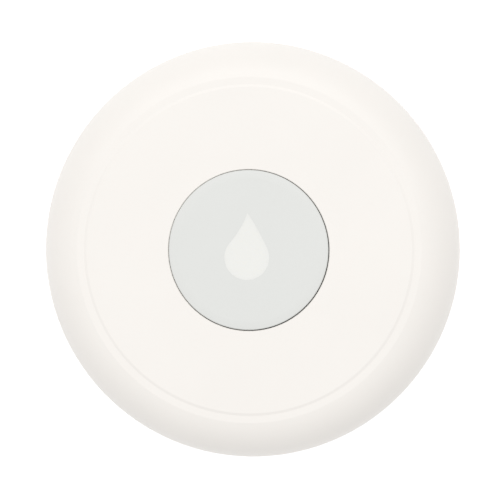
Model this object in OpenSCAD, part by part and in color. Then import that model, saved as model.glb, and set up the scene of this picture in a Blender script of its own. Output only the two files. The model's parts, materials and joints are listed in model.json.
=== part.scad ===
// Round water leak sensor: a white puck on three metal probe feet, with a grey push
// button and a drop mark on top. An AAA cell lies across the base. The board, switch and
// buzzer hang from the top cover, which comes off upwards for a new cell.
// Millimetres. Origin at the centre of the floor plane, +Z up, the drop points to +Y.
// The stack of pieces gives the height, and the row along the cell gives the diameter.

/* [Case] */
// Side wall of the top cover where it is widest
shell_t = 2.6; // [2:0.1:4]
// Top wall of the top cover
top_t = 1.8; // [1.4:0.1:3]
// Floor of the base
floor_t = 1.8; // [1.6:0.1:3]
// Air under the base, given by the probe feet
foot_h = 0.8; // [0.6:0.1:1.5]
// Height of the seam between top cover and base
seam_z = 6; // [5.5:0.1:7]
// Open seam between top cover and base
seam_gap = 0.3; // [0.2:0.05:0.6]
// Radius of the bowed side, seen in section
bow_r = 60; // [50:1:120]
// Diameter of the raised plateau round the button
plateau_d = 44.5; // [40:0.1:46]
// Height of the plateau's edge
step_h = 0.11; // [0.05:0.01:0.4]
// Width of the plateau's sloped edge, seen from above
step_w = 0.35; // [0.15:0.05:0.8]
// Flat land between the plateau and the rim
land_w = 0.95; // [0.5:0.05:1.5]
// Angle at which the round rim leaves the land
rim_tilt = 8; // [1:1:15]
// Radius of the base's lower edge
toe_r = 4; // [3:0.1:5]
// Broken edge along the button and its hole
edge_c = 0.1; // [0.05:0.01:0.2]
// Bevel inside the cover, under its rim
cavity_c = 2.5; // [1.5:0.1:3]

/* [Button] */
// Diameter of the button
button_d = 21.8; // [20:0.1:24]
// Open gap round the button
button_gap = 0.1; // [0.08:0.01:0.3]
// Play along X that the loose button takes up in its hole
button_x = -0.03; // [-0.05:0.005:0.05]
// Play along Y that the loose button takes up in its hole
button_y = 0.035; // [-0.05:0.005:0.05]
// Height of the button above the plateau
button_proud = 0.2; // [0:0.05:0.4]
// Width of the button's crowned edge
crown_w = 1.1; // [0.8:0.1:2.5]
// Radius of that crown, seen in section
crown_r = 9.5; // [8:0.5:40]
// Travel of the button
button_travel = 0.4; // [0.2:0.05:0.5]
// Top plate of the button
button_plate_t = 1.4; // [1:0.1:2]
// Skirt wall of the button
skirt_t = 1.4; // [1:0.1:2]
// Reach of the flange that keeps the button in
button_flange_w = 1.1; // [0.8:0.1:1.5]
// Thickness of that flange
button_flange_t = 0.75; // [0.6:0.05:1.2]
// Air between that flange and the cover
button_flange_gap = 0.15; // [0.1:0.05:0.3]
// Inner radius of the pressing ring under the button
press_ring_r = 6.6; // [6.2:0.1:7]
// Wall of the pressing ring
press_ring_t = 1; // [0.6:0.1:1.2]

/* [Drop mark] */
// Radius of the drop's bulb
drop_r = 3.06; // [2.5:0.01:3.5]
// Centre of the bulb along X, from the button's centre
drop_x = -0.22; // [-0.6:0.01:0.6]
// Centre of the bulb along Y, from the button's centre
drop_y = -1.03; // [-1.5:0.01:-0.5]
// Tip of the drop along X, from the button's centre
drop_tip_x = -0.11; // [-0.6:0.01:0.6]
// Tip of the drop along Y, from the button's centre
drop_tip_y = 5.05; // [4.5:0.01:5.5]
// Radius of the full flank, on the right
drop_full_r = 36; // [18:0.5:50]
// Radius of the hollow flank, on the left
drop_hollow_r = 14; // [10:0.5:40]
// Reach of the collar that holds the inlay from below
drop_collar_w = 0.7; // [0.5:0.05:0.9]
// Thickness of that collar
drop_collar_t = 0.55; // [0.4:0.05:0.8]

/* [Membrane] */
// Radius of the pad
pad_r = 7.9; // [7.7:0.1:8.5]
// Thickness of the web round the pad
web_t = 0.4; // [0.3:0.05:0.5]
// Air between the web and the pressed button
web_gap = 0.2; // [0.15:0.05:0.5]
// Wall of the sealing bead
bead_t = 1.6; // [1.2:0.1:2]
// Air between the bead and the button's flange
bead_gap = 0.6; // [0.4:0.1:1]
// Radius of the nub that meets the switch
nub_r = 1.6; // [1.2:0.1:2]
// Length of the nub
nub_h = 1.1; // [0.8:0.1:1.6]
// Air between nub and switch
nub_gap = 0.1; // [0.05:0.05:0.2]
// Width of the clamp ring outside the bead
clamp_w = 3.2; // [2.8:0.1:3.4]
// Thickness of the clamp ring
clamp_t = 1; // [0.8:0.1:1.1]
// Number of melted pins that hold the ring
stake_n = 4; // [4:1:4]
// Radius of the pins
stake_r = 0.8; // [0.6:0.05:1]
// Radius of their melted heads
stake_head_r = 1.3; // [1.1:0.05:1.5]
// Height of the melted heads
stake_head_h = 0.25; // [0.15:0.05:0.3]
// Radius of the stand-offs behind the pins
stake_boss_r = 1.5; // [1.2:0.05:1.6]

/* [Cell] */
// Diameter of the AAA cell
cell_d = 10.5; // [9.8:0.1:11]
// Overall length of the cell
cell_l = 44.5; // [43:0.1:46]
// Radius of the positive nub
cell_nub_r = 1.9; // [1.6:0.1:2.2]
// Length of the positive nub
cell_nub_l = 0.8; // [0.6:0.1:1.2]
// Bevel of the can's edges
cell_bevel = 0.5; // [0.3:0.05:0.8]
// Bevel of the positive nub
cell_nub_bevel = 0.2; // [0.1:0.05:0.4]
// Thickness of the plain sleeve
sleeve_t = 0.13; // [0.1:0.01:0.3]
// Bare metal left at each end of the sleeve
sleeve_end = 0.5; // [0.3:0.1:1]
// Air between cell and floor
cell_clear = 0.4; // [0.3:0.05:1]
// Thickness of the cradle ribs
cradle_t = 2; // [1.5:0.1:3]
// Distance between the cradle ribs
cradle_span = 18; // [14:1:20]
// Wall of a cradle beside the cell
cradle_wall = 1.6; // [1.2:0.1:1.9]

/* [Battery contacts] */
// Sheet thickness of the contact plates
contact_t = 0.3; // [0.2:0.05:0.5]
// Width of the contact plates
contact_w = 9.8; // [8:0.1:10.2]
// Height of the plates above the floor
contact_h = 8.9; // [7:0.1:9.5]
// Width of the fingers up to the board
finger_w = 2.3; // [1.5:0.1:2.6]
// Length of the fingers' bent end
finger_l = 1.05; // [0.8:0.05:1.1]
// Height of the bump that meets the positive nub
bump_h = 0.4; // [0.3:0.05:0.8]
// Radius of that bump
bump_r = 1.6; // [1.2:0.1:1.8]
// Room for the negative spring
cell_spring_l = 2; // [1.8:0.1:3]
// Wire of the negative spring
cell_spring_wire = 0.5; // [0.4:0.05:0.6]
// Turns of the negative spring
cell_spring_turns = 2; // [2:1:2]
// Radius of the negative spring at its plate
cell_spring_r = 3.6; // [3.4:0.1:3.8]
// Radius of the negative spring at the cell
cell_spring_tip_r = 1.6; // [1.4:0.1:1.8]
// Thickness of the lips that hold each plate
lip_t = 0.8; // [0.6:0.1:0.9]
// Overlap of the lips with the plate
lip_over = 0.8; // [0.6:0.1:1]
// Height of the plate's pocket above the floor
lip_h = 6; // [4:0.5:8]
// Side walls of the plate's pocket
pocket_t = 1.1; // [0.8:0.1:1.5]

/* [Base] */
// Wall of the spigot inside the cover
spigot_t = 1; // [0.8:0.1:1.5]
// Height of the spigot above the seam
spigot_h = 3; // [2:0.1:4]
// Air between contact plates and spigot
end_gap = 0.4; // [0.3:0.05:1]
// Air between spigot and cover
fit_gap = 0.25; // [0.2:0.05:0.5]
// Bevel of the cover's mouth, which presses on the seal
mouth_c = 1.1; // [0.9:0.05:1.2]
// Radius of the sound hole under the buzzer
vent_r = 1; // [0.6:0.1:1.5]
// Rim of the vent's membrane round that hole
vent_rim = 1.6; // [1:0.1:2]
// Thickness of the vent's membrane
vent_t = 0.3; // [0.2:0.05:0.5]

/* [Screws] */
// Number of case screws
screw_n = 3; // [3:1:3]
// Angle of the first case screw
screw_a0 = 30; // [30:1:30]
// Shank radius of the case screws
screw_r = 1.1; // [0.9:0.05:1.3]
// Length of the case screws
screw_l = 8; // [6:0.5:9]
// Head radius of the case screws
screw_head_r = 2; // [1.8:0.1:2.2]
// Head height of the case screws
screw_head_h = 1.6; // [1.2:0.1:1.8]
// Depth of the wells under the base
screw_well_h = 2.2; // [1.9:0.1:2.6]
// Radius of the screw bosses in the cover
boss_r = 2.8; // [2.4:0.1:3]
// Radius of the screw posts in the base
post_r = 3.8; // [3.6:0.1:4]
// Room between the bosses and the cover's wall
boss_inset = 1.8; // [1.6:0.1:2.2]
// Rib that bridges this room
rib_t = 1.2; // [1:0.1:1.6]
// Angle of the board screws from the Y axis
board_screw_a = 30; // [28:1:32]
// Distance of the board's bosses from the cover's wall
board_boss_inset = 3.7; // [3.5:0.1:3.9]
// Radius of the board's bosses
board_boss_r = 2.2; // [1.8:0.1:2.3]
// Shank radius of the board screws
board_screw_r = 0.9; // [0.7:0.05:1]
// Length of the board screws
board_screw_l = 4; // [3:0.1:4.5]
// Head radius of the board screws
board_head_r = 1.8; // [1.5:0.1:2]
// Head height of the board screws
board_head_h = 1.2; // [0.8:0.1:1.4]
// Bevel of the screw heads
head_bevel = 0.4; // [0.2:0.05:0.6]
// Length of the screws' points
screw_tip_l = 1; // [0.6:0.1:1.5]
// Radius at the end of the points
screw_tip_r = 0.4; // [0.2:0.05:0.6]
// Width of the cross recess in each head
cross_t = 0.5; // [0.4:0.05:0.6]
// Length of the cross recess
cross_l = 2; // [1.6:0.1:2.4]
// Depth of the cross recess
cross_h = 0.7; // [0.5:0.1:0.8]

/* [Board] */
// Thickness of the board
board_t = 1; // [0.8:0.1:1.6]
// Air between the board and the cover's wall
board_edge_gap = 1.1; // [0.8:0.1:1.2]
// Air between cell and board
board_gap = 0.7; // [0.5:0.1:2]
// Thickness of the contact pads
pad_metal_t = 0.1; // [0.05:0.05:0.2]
// Radius of the pads over the probes
probe_pad_r = 2; // [1.8:0.1:2.5]
// Radius of the pads over the cell's fingers
finger_pad_r = 1.1; // [0.9:0.05:1.1]
// Width of the push switch
switch_w = 5.2; // [4.5:0.1:6.2]
// Height of the push switch
switch_h = 1.4; // [1.2:0.1:2]
// Thickness of the switch's metal lid
switch_lid_t = 0.2; // [0.15:0.05:0.3]
// Margin round that lid
switch_lid_margin = 0.3; // [0.2:0.05:0.5]
// Radius of the rivets in the lid's corners
rivet_r = 0.35; // [0.2:0.05:0.4]
// Height of these rivets
rivet_h = 0.1; // [0.05:0.05:0.15]
// Distance of these rivets from the lid's edge
rivet_inset = 0.6; // [0.5:0.05:0.7]
// Length of the switch's legs
switch_leg_l = 0.9; // [0.6:0.1:1.2]
// Width of the switch's legs
switch_leg_w = 0.7; // [0.5:0.1:1]
// Distance between the legs on one side of the switch
switch_leg_pitch = 3.2; // [2.6:0.1:3.6]
// Thickness of the legs of switch and processor
leg_t = 0.2; // [0.15:0.05:0.3]
// Radius of the switch plunger
plunger_r = 1.2; // [1:0.1:1.4]
// Bevel of the plunger's top
plunger_bevel = 0.2; // [0.1:0.05:0.4]
// Height of the plunger above the switch when it is pressed
plunger_rest = 0.1; // [0.1:0.05:0.4]
// Height of the plunger inside the switch
plunger_in = 0.6; // [0.4:0.05:0.6]
// Length of the status light
led_l = 2; // [1.6:0.1:2.4]
// Width of the status light
led_w = 1.6; // [1.2:0.1:1.8]
// Height of the status light
led_h = 0.9; // [0.6:0.1:1.2]
// Height of the status light's base
led_base_h = 0.5; // [0.3:0.1:0.6]
// Radius of the status light's lens
led_lens_r = 0.6; // [0.4:0.05:0.65]
// Air between the status light and the switch
led_gap = 1.2; // [0.8:0.1:2]
// Length of the radio module
radio_l = 12; // [10:0.5:13]
// Width of the radio module
radio_w = 9; // [8:0.5:10]
// Thickness of the radio module's board
radio_t = 0.6; // [0.5:0.1:0.8]
// Distance of the radio module from the board's edge
radio_inset = 3.8; // [3.5:0.1:4.5]
// Number of plated half holes on each side of the radio module
castle_n = 6; // [4:1:7]
// Distance from one half hole to the next
castle_pitch = 1.3; // [1:0.05:1.5]
// Radius of the half holes
castle_r = 0.3; // [0.2:0.05:0.4]
// Length of the radio's metal can
shield_l = 8.4; // [7:0.1:9]
// Width of the radio's metal can
shield_w = 6.6; // [5:0.1:7]
// Height of the radio's metal can
shield_h = 1; // [0.8:0.1:1.1]
// Corner radius of the can
shield_corner = 0.6; // [0.3:0.05:1]
// Height of the can's lid, measured down from its top
shield_lid_h = 0.7; // [0.4:0.05:0.7]
// Sheet thickness of the lid
shield_lid_t = 0.15; // [0.1:0.05:0.2]
// Margin between the can and the module's end
shield_margin = 0.6; // [0.4:0.1:1]
// Diameter of the buzzer
buzzer_d = 12; // [9:0.5:12]
// Height of the buzzer
buzzer_h = 6.5; // [5:0.1:7.5]
// Height of the buzzer's foot on the board
buzzer_foot_h = 1; // [0.8:0.1:1.5]
// Step from that foot to the body
buzzer_step = 0.25; // [0.15:0.05:0.4]
// Bevel of the buzzer's free edge
buzzer_bevel = 0.4; // [0.2:0.05:0.6]
// Depth of the buzzer's sound hole
buzzer_hole_h = 1; // [0.6:0.1:1.5]
// Diameter of the buzzer's sound hole
buzzer_hole_d = 2; // [1.5:0.1:3]
// Air between the buzzer and the cell, seen from above
buzzer_gap = 0.75; // [0.5:0.05:0.9]
// Diameter of the coil under the board
coil_d = 5; // [4:0.1:5.5]
// Height of the coil
coil_h = 2.6; // [2:0.1:4]
// Thickness of the coil's two flanges
coil_flange_t = 0.6; // [0.4:0.1:0.7]
// Depth of the winding's groove
coil_groove = 0.6; // [0.4:0.1:1]
// Diameter of the capacitor
cap_d = 4; // [3:0.1:5]
// Height of the capacitor
cap_h = 3.2; // [2:0.1:5]
// Width of the capacitor's foot
cap_foot_w = 4.3; // [3.5:0.1:5.5]
// Height of the capacitor's foot
cap_foot_h = 0.6; // [0.4:0.1:1]
// Bevel of the capacitor's free edge
cap_bevel = 0.3; // [0.2:0.05:0.5]
// Width of the processor
chip_w = 5.5; // [4:0.1:6]
// Height of the processor
chip_h = 0.9; // [0.7:0.1:1.2]
// Number of legs on each side of the processor
chip_leg_n = 7; // [5:1:8]
// Distance from one leg to the next
chip_leg_pitch = 0.65; // [0.5:0.01:0.7]
// Width of a leg
chip_leg_w = 0.3; // [0.2:0.05:0.4]
// Length of a leg
chip_leg_l = 0.7; // [0.5:0.1:1]
// Radius of the dimple in the processor's corner
dimple_r = 0.35; // [0.2:0.05:0.5]
// Depth of that dimple
dimple_h = 0.1; // [0.05:0.05:0.2]
// Distance of the dimple from the processor's edges
dimple_inset = 0.9; // [0.7:0.1:1.2]
// Air between the cell and the row of these parts
parts_gap = 1.8; // [1.5:0.1:2.5]
// Distance from one part to the next
parts_pitch = 6.6; // [6:0.1:7]
// Number of small chips behind the row
small_n = 6; // [2:2:8]
// Length of a small chip
small_l = 1.6; // [1:0.1:2]
// Width of a small chip
small_w = 0.8; // [0.5:0.1:1]
// Height of a small chip
small_h = 0.5; // [0.3:0.1:0.8]

/* [Probes] */
// Number of probes
probe_n = 3; // [3:1:3]
// Angle of the first probe
probe_a0 = 90; // [90:1:90]
// Distance of the probes from the spigot's inner wall
probe_inset = 6.65; // [6:0.05:7]
// Radius of the flat tip on the floor
probe_tip_r = 1.4; // [1:0.1:1.8]
// Radius of the probe's head
probe_head_r = 2.6; // [2.2:0.1:2.8]
// Height of the cone from tip to head
probe_cone_h = 0.6; // [0.4:0.05:0.8]
// Height of the head above the cone
probe_head_h = 0.6; // [0.4:0.05:0.6]
// Radius of the probe's shank
probe_r = 1.1; // [0.9:0.05:1.2]
// Length of the shank above its boss
probe_end = 1; // [0.8:0.1:1.5]
// Thickness of the rubber ring above the head
probe_seal_t = 0.76; // [0.6:0.02:0.8]
// Wall of the boss round the shank
probe_boss_t = 1.3; // [1:0.1:1.5]
// Height of the boss above the floor
probe_boss_h = 1.6; // [1.2:0.1:2]
// Radius of the locking clip
clip_r = 2.2; // [1.9:0.1:2.4]
// Thickness of the locking clip
clip_t = 0.3; // [0.25:0.05:0.4]
// Depth of the clip's groove
clip_bite = 0.3; // [0.2:0.05:0.4]
// Mouth of the clip
clip_mouth = 1.3; // [1:0.1:1.5]
// Wire of the springs up to the board
probe_spring_wire = 0.4; // [0.3:0.05:0.45]
// Mean radius of these springs
probe_spring_r = 1.5; // [1.45:0.05:1.6]
// Turns of these springs
probe_spring_turns = 8; // [6:1:9]

/* [Clearances] */
// Air round a seated piece
seat_gap = 0.05; // [0.02:0.01:0.1]
// Air round a screw's shank, a probe's shank and the cell
shank_gap = 0.15; // [0.1:0.05:0.3]
// Air round a screw's or probe's head
head_gap = 0.3; // [0.2:0.05:0.5]
// Air round the cover's screw bosses
boss_gap = 0.3; // [0.2:0.05:0.6]
// Running clearance of the switch plunger
run_gap = 0.08; // [0.04:0.01:0.1]

/* [Node] */
// Sub-part to draw, or all

/* [Hidden] */
$fn = 96;
WHITE = [0.96, 0.95, 0.93];
GREY = [0.89, 0.9, 0.89];
PALE = [0.94, 0.94, 0.92];
RUBBER = [0.2, 0.2, 0.22];
STEEL = [0.75, 0.76, 0.78];
MASK = [0.1, 0.35, 0.22];
BLACK = [0.12, 0.12, 0.13];
GOLD = [0.85, 0.7, 0.35];
SLEEVE = [0.2, 0.3, 0.5];

BITE = 0.5;      // overlap of a piece with the wall it grows from
CUT = 1;         // reach of a cut beyond the face it opens
COIL_RINGS = 8;  // rings in one turn of a spring
COIL_SIDES = 6;  // sides of a spring's wire
DROP_BITE = 0.02;  // flanks of the drop cut this far into its bulb
DROP_REACH = 1.5;  // wedge that bounds the flanks, in bulb radii
CROWN_IN = 0.2;  // crown's arc has its top this far inside the edge of the flat
TOE_DIP = 0.1;   // lower edge's arc starts this far below the base
TOE_OUT = 0.9;   // lower edge's arc ends this far inside the widest radius

function snap(v) = round(v * 100) / 100;

// Stack from the floor plane up
floor_z = foot_h + floor_t;
cell_r = cell_d / 2;
cell_z = floor_z + cell_clear + cell_r;
board_z0 = cell_z + cell_r + board_gap;
board_z1 = board_z0 + board_t;
switch_z = board_z1 + switch_h;
plunger_out = button_travel + plunger_rest;
nub_z = switch_z + plunger_out + nub_gap;
pad_z0 = nub_z + nub_h;
pad_z1 = pad_z0 + web_t + button_travel + web_gap;
button_flange_z = pad_z1 + button_flange_t;
under_z = button_flange_z + button_flange_gap;
body_h = under_z + top_t;
button_z = body_h + button_proud;
plate_z = button_z - button_plate_t;
crown_z = button_z - sqrt(pow(crown_r, 2) - pow(CROWN_IN, 2));

// Button and membrane, outwards
button_r = button_d / 2;
hole_r = button_r + button_gap;
button_flange_r = button_r + button_flange_w;
crown_x = button_r - crown_w - CROWN_IN;
brink_z = crown_z + sqrt(pow(crown_r, 2) - pow(button_r - crown_x, 2));
bead_in_r = button_flange_r + bead_gap;
bead_r = bead_in_r + bead_t;
clamp_r = bead_r + clamp_w;
clamp_z = pad_z0 - clamp_t;
stake_x = bead_r + clamp_w / 2;

// Row along the cell
end_x = snap((2 * contact_t + cell_spring_l + cell_l + bump_h) / 2);
plate_x = end_x - contact_t;
cell_x0 = -plate_x + cell_spring_l;
buzzer_y = -(cell_r + buzzer_gap + buzzer_d / 2);

// Outwards to the case, which is as wide as the cell, the clamp ring or the buzzer asks for
cell_room = norm([end_x, contact_w / 2]) + end_gap + spigot_t + fit_gap;
clamp_room = clamp_r + boss_gap + 2 * board_boss_r + board_boss_inset;
buzzer_room = buzzer_d / 2 - buzzer_y + boss_gap + 2 * boss_r + boss_inset;
cavity_r = snap(max(cell_room, clamp_room, buzzer_room));
spigot_r = cavity_r - fit_gap;
spigot_in_r = spigot_r - spigot_t;
body_r = cavity_r + shell_t;

// Section of the case
plateau_r = plateau_d / 2;
land_z = body_h - step_h;
land_r = plateau_r + step_w + land_w;
rim_r = snap((body_r - land_r) / (1 - sin(rim_tilt)));
rim_x = body_r - rim_r;
rim_z = snap(land_z - rim_r * cos(rim_tilt));
toe_x = snap(body_r - TOE_OUT - toe_r);
toe_z = foot_h + toe_r - TOE_DIP;
base_z = seam_z - seam_gap;

// Screws
screw_x = cavity_r - boss_inset - boss_r;
screw_seat_z = foot_h + screw_well_h;
post_z = seam_z + seam_gap;
boss_z = post_z + boss_gap;
board_screw_x = cavity_r - board_boss_inset - board_boss_r;
board_screw_angles = [
    90 - board_screw_a, 90 + board_screw_a, 270 - board_screw_a, 270 + board_screw_a
];

// Board
board_r = cavity_r - board_edge_gap;
pad_bottom_z = board_z0 - pad_metal_t;
finger_z = pad_bottom_z - seat_gap;
finger_y = contact_w / 2 - finger_w / 2;
finger_x = end_x - finger_l / 2;
led_y = switch_w / 2 + led_gap + led_w / 2;
radio_y = board_r - radio_inset - radio_w / 2;
radio_can_x = (radio_l - shield_l) / 2 - shield_margin;
parts_y = cell_r + parts_gap + chip_w / 2;
cap_x = boss_r + boss_gap + cap_foot_w / 2 - screw_x * cos(screw_a0);

// Probes
probe_x = spigot_in_r - probe_inset;
probe_head_z = probe_cone_h + probe_head_h;
probe_seal_z = probe_head_z + probe_seal_t / 2 + seat_gap / 2;
probe_seat_z = probe_head_z + probe_seal_t + seat_gap;
probe_bore_r = probe_r + shank_gap;
probe_boss_z = floor_z + probe_boss_h;
clip_z = probe_boss_z + seat_gap;
probe_top_z = probe_boss_z + probe_end;
probe_spring_z = clip_z + clip_t + seat_gap;

// Housing seal: the round section that fits base, spigot and bevelled mouth
seal_pocket = (cavity_r + mouth_c + seam_z) - (spigot_r + base_z);
seal_room = seal_pocket / (2 + sqrt(2));
seal_r = snap(seal_room - seat_gap);

screw_angles = [for (i = [0:screw_n - 1]) screw_a0 + i * 360 / screw_n];
probe_angles = [for (i = [0:probe_n - 1]) probe_a0 + i * 360 / probe_n];
stake_angles = [for (i = [0:stake_n - 1]) 180 / stake_n + i * 360 / stake_n];

module at_polar(r, angles) {
    for (a = angles)
        rotate(a)
            translate([r, 0, 0])
                children();
}

module tube(r, bore, h) {
    difference() {
        cylinder(r = r, h = h);
        translate([0, 0, -CUT])
            cylinder(r = bore, h = h + 2 * CUT);
    }
}

// Rectangle with round corners
module rounded(w, h, r) {
    square([w - 2 * r, h], center = true);
    square([w, h - 2 * r], center = true);
    for (x = [-1, 1], y = [-1, 1])
        translate([x * (w / 2 - r), y * (h / 2 - r)])
            circle(r = r);
}

module box(size, z = 0) {
    translate([-size.x / 2, -size.y / 2, z])
        cube(size);
}

// Screw that points up from its seat at height 0
module screw(r, l, head_r, head_h) {
    difference() {
        rotate_extrude()
            polygon([
                [0, -head_h], [head_r - head_bevel, -head_h], [head_r, head_bevel - head_h], [head_r, 0],
                [r, 0], [r, l - screw_tip_l], [screw_tip_r, l], [0, l]
            ]);
        for (a = [0, 90])
            rotate(a)
                box([cross_l, cross_t, cross_h + CUT], -head_h - CUT);
    }
}

// Springs: one tube on a helix from radius r0 to r1, its line starting at height 0
function coil_line(r0, r1, h, turns) = [
    for (i = [0:turns * COIL_RINGS])
        let (s = i / (turns * COIL_RINGS), r = r0 + (r1 - r0) * s, a = 360 * i / COIL_RINGS)
        [r * cos(a), r * sin(a), h * s]
];

function coil_ring(p, rise, wire) =
    let (
        out = [p.x, p.y, 0] / norm([p.x, p.y]),
        along = [-out.y, out.x, rise],
        up = cross(out, along / norm(along))
    )
    [
        for (k = [0:COIL_SIDES - 1])
            let (a = 360 * k / COIL_SIDES)
            p + wire / 2 * (cos(a) * out + sin(a) * up)
    ];

function coil_gap(line, wire) =
    min([
        for (i = [0:len(line) - 1], j = [i + COIL_RINGS / 2:1:len(line) - 1])
            norm(line[i] - line[j]) - wire
    ]);

module coil(r0, r1, h, turns, wire) {
    line = coil_line(r0, r1, h, turns);
    rise = h / (turns * PI * (r0 + r1));
    rings = [for (p = line) coil_ring(p, rise, wire)];
    last = len(line) - 1;
    sides = [
        for (i = [0:last - 1], k = [0:COIL_SIDES - 1])
            let (n = (k + 1) % COIL_SIDES, a = i * COIL_SIDES, b = a + COIL_SIDES)
            each [[a + k, b + k, b + n], [a + k, b + n, a + n]]
    ];
    ends = [
        for (k = [1:COIL_SIDES - 2])
            each [
                [0, k, k + 1],
                [last * COIL_SIDES, last * COIL_SIDES + k + 1, last * COIL_SIDES + k]
            ]
    ];
    echo(least_gap = coil_gap(line, wire));
    polyhedron(points = [for (ring = rings) each ring], faces = concat(sides, ends));
}

// Drop outline, grown by g: a bulb, a full flank on the right and a hollow one on the left
function two_circles(a, ra, b, rb) =
    let (d = norm(b - a), u = (b - a) / d, x = (ra * ra - rb * rb + d * d) / (2 * d))
    a + x * u + sqrt(ra * ra - x * x) * [-u.y, u.x];

module drop(g = 0) {
    bulb = [drop_x, drop_y];
    tip = [drop_tip_x, drop_tip_y];
    full = two_circles(bulb, drop_full_r - drop_r + DROP_BITE, tip, drop_full_r);
    hollow = two_circles(bulb, drop_hollow_r + drop_r - DROP_BITE, tip, drop_hollow_r);
    reach = drop_r * DROP_REACH;
    right = bulb + reach * (bulb - full) / norm(bulb - full);
    left = bulb + reach * (hollow - bulb) / norm(hollow - bulb);
    above = drop_tip_y + drop_r;
    translate(bulb)
        circle(r = drop_r + g);
    difference() {
        intersection() {
            polygon([bulb, right, [right.x, above], [left.x, above], left]);
            translate(full)
                circle(r = drop_full_r + g);
        }
        translate(hollow)
            circle(r = drop_hollow_r - g);
    }
}

// Half section of the outer case between two heights
module side_section(z0) {
    intersection() {
        translate([body_r - bow_r, rim_z])
            circle(r = bow_r);
        translate([0, z0])
            square([body_r + CUT, rim_z - z0]);
    }
}

module rim_section() {
    intersection() {
        union() {
            translate([rim_x, rim_z])
                circle(r = rim_r);
            translate([0, rim_z])
                square([rim_x, land_z - rim_z]);
        }
        translate([0, rim_z])
            square([body_r + CUT, land_z - rim_z]);
    }
}

module plateau_section() {
    polygon([
        [0, land_z - step_h], [plateau_r, land_z - step_h], [plateau_r + step_w, land_z],
        [plateau_r, body_h], [0, body_h]
    ]);
}

module cover_section() {
    difference() {
        union() {
            side_section(seam_z);
            rim_section();
            plateau_section();
        }
        polygon([
            [0, seam_z - CUT], [cavity_r + mouth_c + CUT, seam_z - CUT], [cavity_r, seam_z + mouth_c],
            [cavity_r, under_z - cavity_c], [cavity_r - cavity_c, under_z], [0, under_z]
        ]);
        polygon([
            [0, under_z - CUT], [hole_r, under_z - CUT], [hole_r, body_h - edge_c],
            [hole_r + edge_c + CUT, body_h + CUT], [0, body_h + CUT]
        ]);
    }
}

module base_section() {
    difference() {
        union() {
            intersection() {
                side_section(foot_h);
                square([body_r + CUT, base_z]);
            }
            translate([spigot_in_r - BITE, floor_z])
                square([spigot_r - spigot_in_r + BITE, seam_z + spigot_h - floor_z]);
        }
        translate([0, floor_z])
            square([spigot_in_r, body_h]);
        difference() {
            translate([toe_x, foot_h - CUT])
                square([toe_r + CUT, toe_z - foot_h + CUT]);
            translate([toe_x, toe_z])
                circle(r = toe_r);
        }
    }
}

module top_cover() {
    color(WHITE)
        difference() {
            union() {
                rotate_extrude()
                    cover_section();
                at_polar(screw_x, screw_angles) {
                    translate([0, 0, boss_z])
                        cylinder(r = boss_r, h = under_z + BITE - boss_z);
                    translate([0, -rib_t / 2, seam_z + spigot_h + BITE])
                        cube([boss_r + boss_inset + BITE, rib_t, under_z - cavity_c - seam_z - spigot_h]);
                }
                at_polar(board_screw_x, board_screw_angles)
                    translate([0, 0, board_z1])
                        cylinder(r = board_boss_r, h = under_z + BITE - board_z1);
                at_polar(stake_x, stake_angles) {
                    translate([0, 0, pad_z0])
                        cylinder(r = stake_boss_r, h = under_z + BITE - pad_z0);
                    translate([0, 0, clamp_z - seat_gap - stake_head_h])
                        cylinder(r = stake_r, h = under_z - clamp_z + stake_head_h);
                    translate([0, 0, clamp_z - seat_gap - stake_head_h])
                        cylinder(r = stake_head_r, h = stake_head_h);
                }
            }
            at_polar(screw_x, screw_angles)
                translate([0, 0, boss_z - CUT])
                    cylinder(r = screw_r + seat_gap, h = screw_seat_z + screw_l + 2 * CUT - boss_z);
            at_polar(board_screw_x, board_screw_angles)
                translate([0, 0, board_z1 - CUT])
                    cylinder(r = board_screw_r + seat_gap, h = board_screw_l + CUT);
        }
}

// Half section of the button, whose flat top bends down along a wide arc to its edge
module button_section() {
    skirt_in_r = button_r - skirt_t;
    press_r = press_ring_r + press_ring_t;
    bevel = button_z - brink_z + edge_c;
    intersection() {
        polygon([
            [0, plate_z], [press_ring_r, plate_z], [press_ring_r, pad_z1], [press_r, pad_z1],
            [press_r, plate_z], [skirt_in_r, plate_z], [skirt_in_r, pad_z1],
            [button_flange_r, pad_z1], [button_flange_r, button_flange_z],
            [button_r, button_flange_z], [button_r, button_z - bevel],
            [button_r - bevel, button_z], [0, button_z]
        ]);
        union() {
            square([crown_x, button_z + CUT]);
            translate([crown_x, crown_z])
                circle(r = crown_r);
        }
    }
}

module button_cap() {
    color(GREY)
        translate([button_x, button_y, 0])
            difference() {
                rotate_extrude()
                    button_section();
                translate([0, 0, plate_z - CUT])
                    linear_extrude(button_plate_t + 2 * CUT)
                        drop();
            }
}

// Moulded into the button as a second shot, so it fills the cut-out without a gap
module drop_inlay() {
    color(PALE)
        translate([button_x, button_y, plate_z - drop_collar_t]) {
            linear_extrude(button_plate_t + drop_collar_t)
                drop();
            linear_extrude(drop_collar_t)
                intersection() {
                    drop(drop_collar_w);
                    circle(r = press_ring_r - seat_gap);
                }
        }
}

module button_membrane() {
    color(PALE)
        rotate_extrude()
            polygon([
                [0, nub_z], [nub_r, nub_z], [nub_r, pad_z0], [bead_r, pad_z0], [bead_r, under_z],
                [bead_in_r, under_z], [bead_in_r, pad_z0 + web_t], [pad_r, pad_z0 + web_t],
                [pad_r, pad_z1], [0, pad_z1]
            ]);
}

module membrane_ring() {
    color(PALE)
        translate([0, 0, clamp_z])
            difference() {
                tube(clamp_r, bead_in_r, clamp_t);
                at_polar(stake_x, stake_angles)
                    translate([0, 0, -CUT])
                        cylinder(r = stake_r + seat_gap, h = clamp_t + 2 * CUT);
            }
}

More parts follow.
